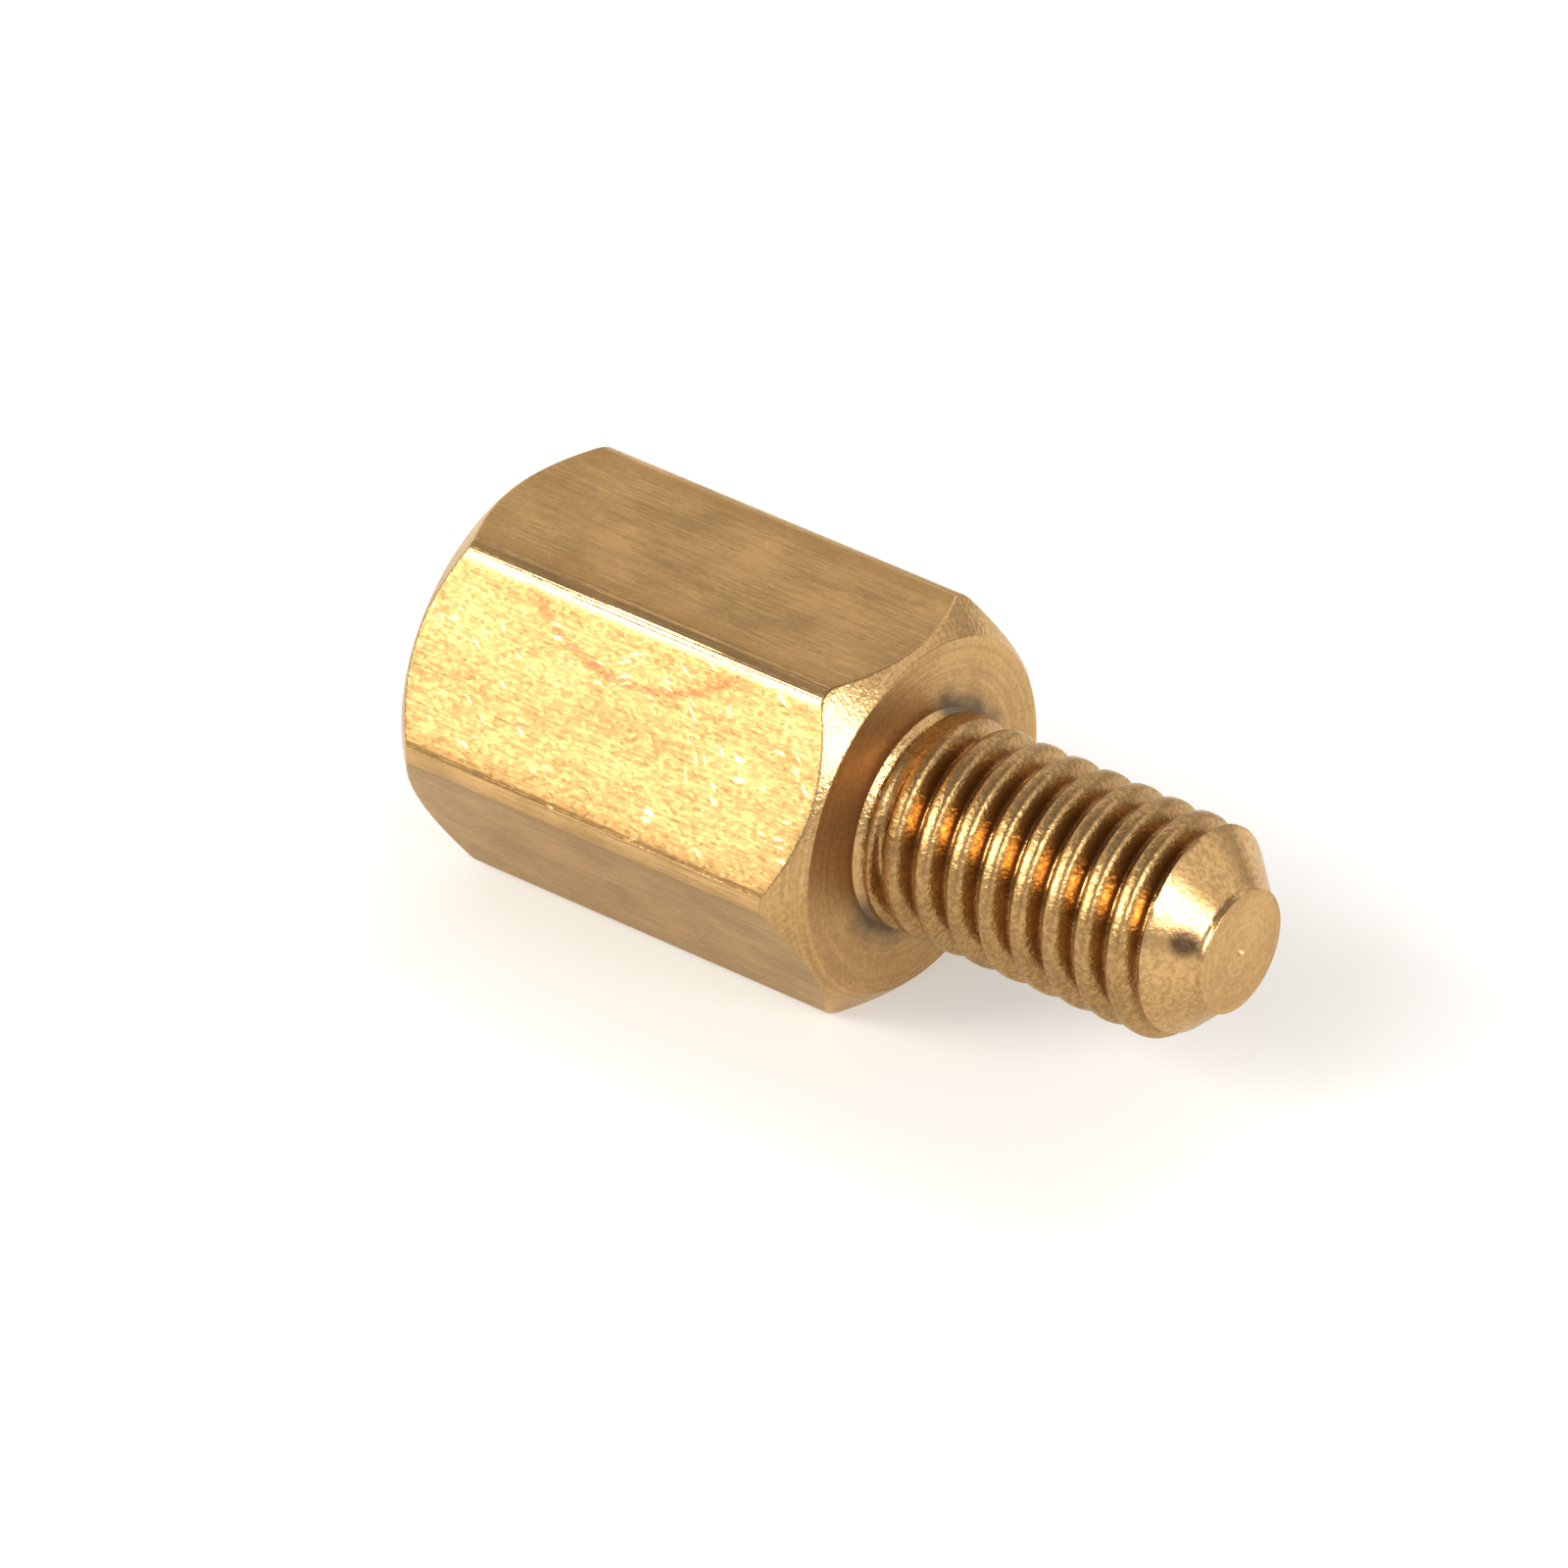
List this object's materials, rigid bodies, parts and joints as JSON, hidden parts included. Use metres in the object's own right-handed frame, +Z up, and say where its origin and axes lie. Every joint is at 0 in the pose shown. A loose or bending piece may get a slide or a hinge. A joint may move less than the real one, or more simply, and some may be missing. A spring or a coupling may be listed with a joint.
{
  "type": "hex standoff",
  "caption": "Turned brass hex standoff: a chamfered hexagonal spacer with a threaded stud at one end and a blind tapped hole at the other, for holding boards apart.",
  "frame": {"origin": "on the flat that the standoff lies on, below the middle of its whole length", "axes": "+X along the axis, out of the stud's tip; +Z up, away from the flat that it lies on"},
  "size_m": [0.0116, 0.0056, 0.005],
  "materials": {
    "brass": "bare drawn and turned brass, bright on the turned ends and thread, finely streaked along the flats"
  },
  "bodies": {
    "root": {"standoff": "brass"}
  },
  "joints": []
}
